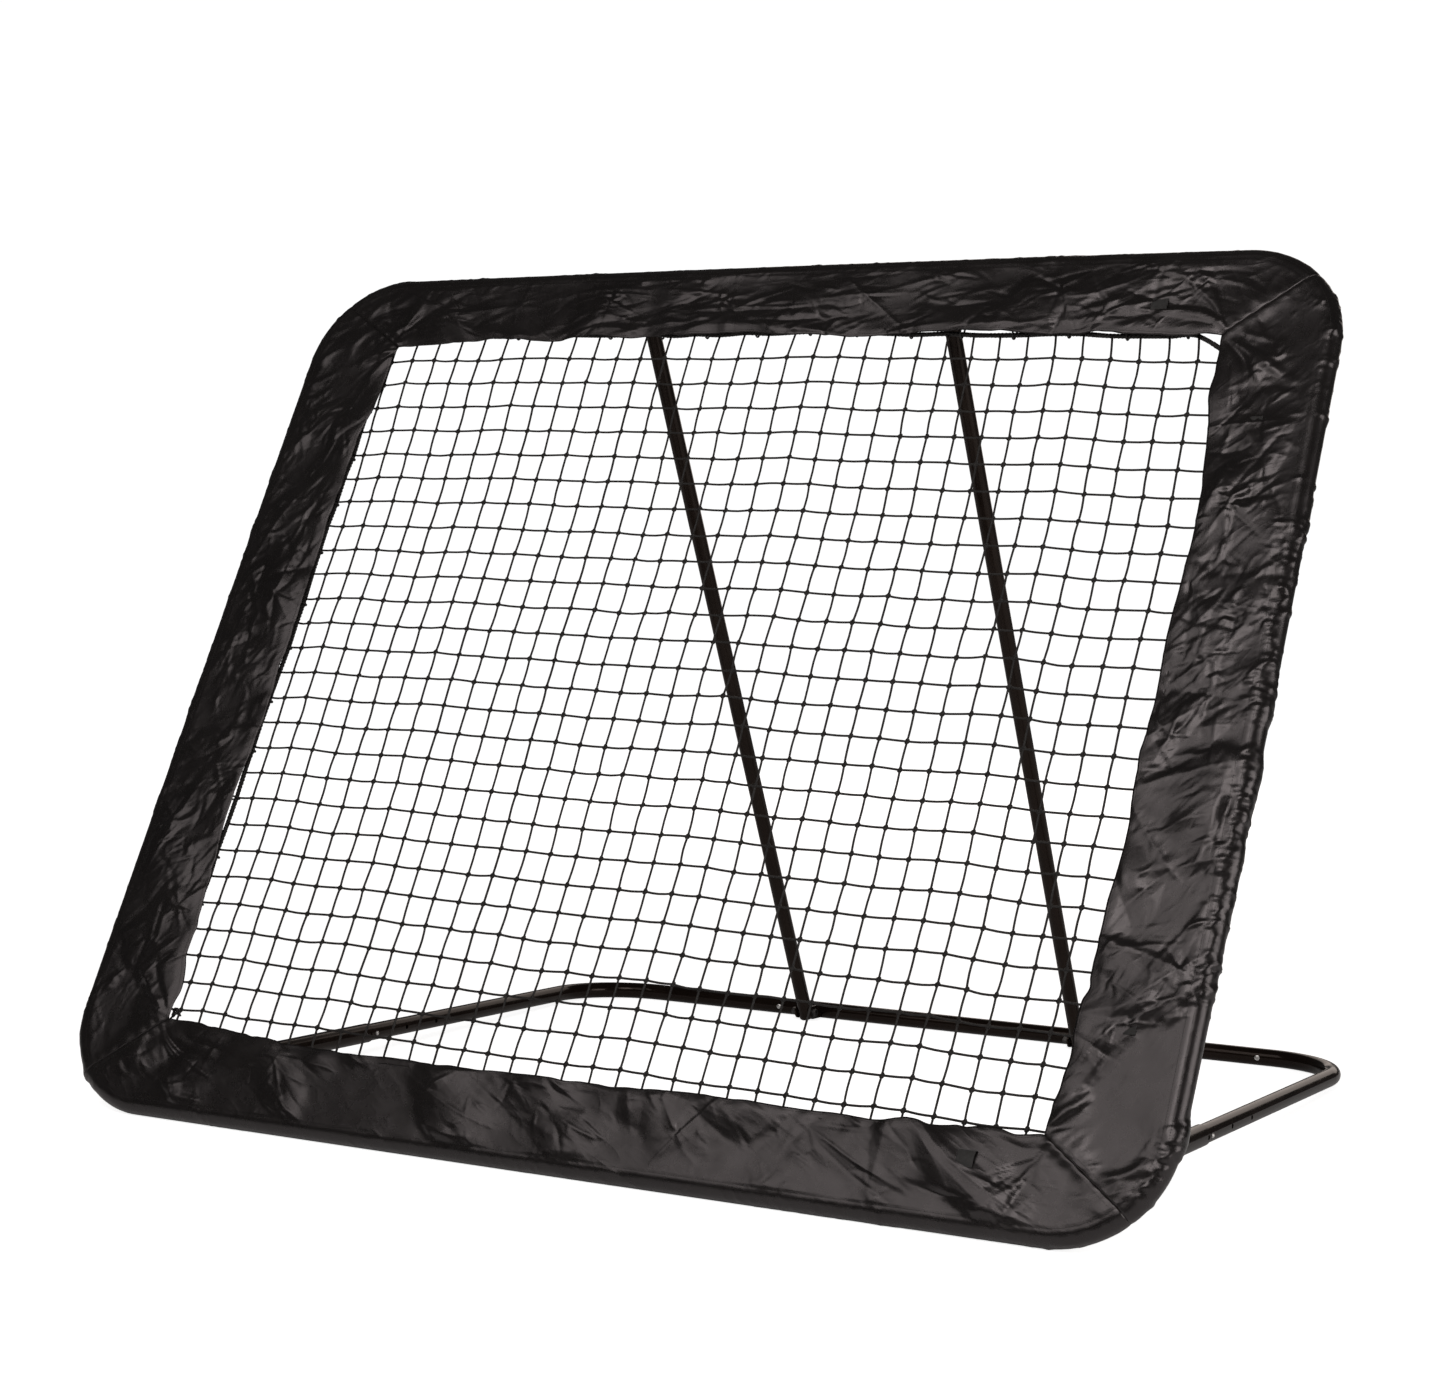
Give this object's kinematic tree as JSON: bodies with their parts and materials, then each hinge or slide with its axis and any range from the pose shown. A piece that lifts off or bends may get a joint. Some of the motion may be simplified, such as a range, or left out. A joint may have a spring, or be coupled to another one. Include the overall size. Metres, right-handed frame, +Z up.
{
  "type": "pitch back rebounder",
  "caption": "Free-standing ball rebounder: knotted net on elastic loops in a leaning tube frame with a fabric edge cover, on telescoping legs and rear struts.",
  "frame": {"origin": "on the ground, in the middle of the rectangle that the rebounder covers", "axes": "+X to the right seen from the playing side, +Y to the back, +Z up"},
  "size_m": [1.802, 1.348, 1.3105],
  "materials": {
    "black_tube": "black powder coat, satin, with soft long highlights",
    "bolt_steel": "black zinc plated",
    "zinc_steel": "bright zinc plated",
    "plug_plastic": "moulded black plastic",
    "cover_fabric": "coated black polyester, creased, low sheen",
    "net_cord": "black knotted twine",
    "border_rope": "black braided rope",
    "elastic_cord": "black braided elastic cord",
    "strap_webbing": "black hook-and-loop webbing"
  },
  "bodies": {
    "rear_base": {"rear_bend_right": "black_tube", "rear_bend_left": "black_tube", "rear_cross_tube": "black_tube", "rear_joint_screws": "zinc_steel", "foot_clevis_left": "black_tube", "foot_clevis_right": "black_tube", "foot_bolts": "bolt_steel", "foot_nuts": "bolt_steel", "foot_washers": "bolt_steel"},
    "leg_sleeves": {"leg_sleeve_left": "black_tube", "leg_sleeve_right": "black_tube", "leg_sleeve_plugs": "plug_plastic"},
    "front_frame": {"frame_corner_top_right": "black_tube", "frame_corner_top_left": "black_tube", "frame_corner_bottom_right": "black_tube", "frame_corner_bottom_left": "black_tube", "frame_tube_bottom": "black_tube", "frame_tube_top": "black_tube", "frame_tube_left": "black_tube", "frame_tube_right": "black_tube", "frame_joint_screws": "zinc_steel", "leg_hinge_bracket_left": "black_tube", "leg_hinge_bracket_right": "black_tube", "strut_hinge_bracket_left": "black_tube", "strut_hinge_bracket_right": "black_tube", "leg_hinge_bolts": "bolt_steel", "leg_hinge_nuts": "bolt_steel", "strut_hinge_bolts": "bolt_steel", "strut_hinge_nuts": "bolt_steel", "frame_hinge_washers": "bolt_steel", "net": "net_cord", "net_border_rope": "border_rope", "elastic_loops_bottom": "elastic_cord", "elastic_loops_top": "elastic_cord", "elastic_loops_left": "elastic_cord", "elastic_loops_right": "elastic_cord", "cover_bottom": "cover_fabric", "cover_top": "cover_fabric", "cover_left": "cover_fabric", "cover_right": "cover_fabric", "cover_straps": "strap_webbing"},
    "left_strut": {"strut_left": "black_tube", "strut_plugs_left": "plug_plastic"},
    "right_strut": {"strut_right": "black_tube", "strut_plugs_right": "plug_plastic"},
    "lock_button_left_inner_body": {"lock_button_left_inner": "zinc_steel"},
    "lock_button_left_outer_body": {"lock_button_left_outer": "zinc_steel"},
    "lock_button_right_inner_body": {"lock_button_right_inner": "zinc_steel"},
    "lock_button_right_outer_body": {"lock_button_right_outer": "zinc_steel"}
  },
  "joints": [
    {"name": "leg_telescope", "type": "slide", "parent": "rear_base", "child": "leg_sleeves", "axis": [0, -0.9995, 0.0302], "range_m": [0, 0.12]},
    {"name": "frame_tilt", "type": "hinge", "parent": "leg_sleeves", "child": "front_frame", "pos_m": [0, -0.59867, 0.05246], "axis": [1, 0, 0], "range_deg": [-2.93, 0]},
    {"name": "left_strut_swing", "type": "hinge", "parent": "front_frame", "child": "left_strut", "pos_m": [-0.267, 0.0464, 1.22583], "axis": [1, 0, 0], "range_deg": [0, 5.85]},
    {"name": "right_strut_swing", "type": "hinge", "parent": "front_frame", "child": "right_strut", "pos_m": [0.267, 0.0464, 1.22583], "axis": [1, 0, 0], "range_deg": [0, 5.85]},
    {"name": "lock_button_left_inner_press", "type": "slide", "parent": "rear_base", "child": "lock_button_left_inner_body", "axis": [-1, 0, 0], "range_m": [0, 0.0034], "stiffness_N_per_m": 1500, "springref_m": -0.001},
    {"name": "lock_button_left_outer_press", "type": "slide", "parent": "rear_base", "child": "lock_button_left_outer_body", "axis": [1, 0, 0], "range_m": [0, 0.0034], "stiffness_N_per_m": 1500, "springref_m": -0.001},
    {"name": "lock_button_right_inner_press", "type": "slide", "parent": "rear_base", "child": "lock_button_right_inner_body", "axis": [1, 0, 0], "range_m": [0, 0.0034], "stiffness_N_per_m": 1500, "springref_m": -0.001},
    {"name": "lock_button_right_outer_press", "type": "slide", "parent": "rear_base", "child": "lock_button_right_outer_body", "axis": [-1, 0, 0], "range_m": [0, 0.0034], "stiffness_N_per_m": 1500, "springref_m": -0.001}
  ],
  "couplings": [
    {"joint": "frame_tilt", "follows": "leg_telescope", "rad_per_m": -0.42286},
    {"joint": "left_strut_swing", "follows": "leg_telescope", "rad_per_m": 0.84816},
    {"joint": "right_strut_swing", "follows": "leg_telescope", "rad_per_m": 0.84816}
  ]
}
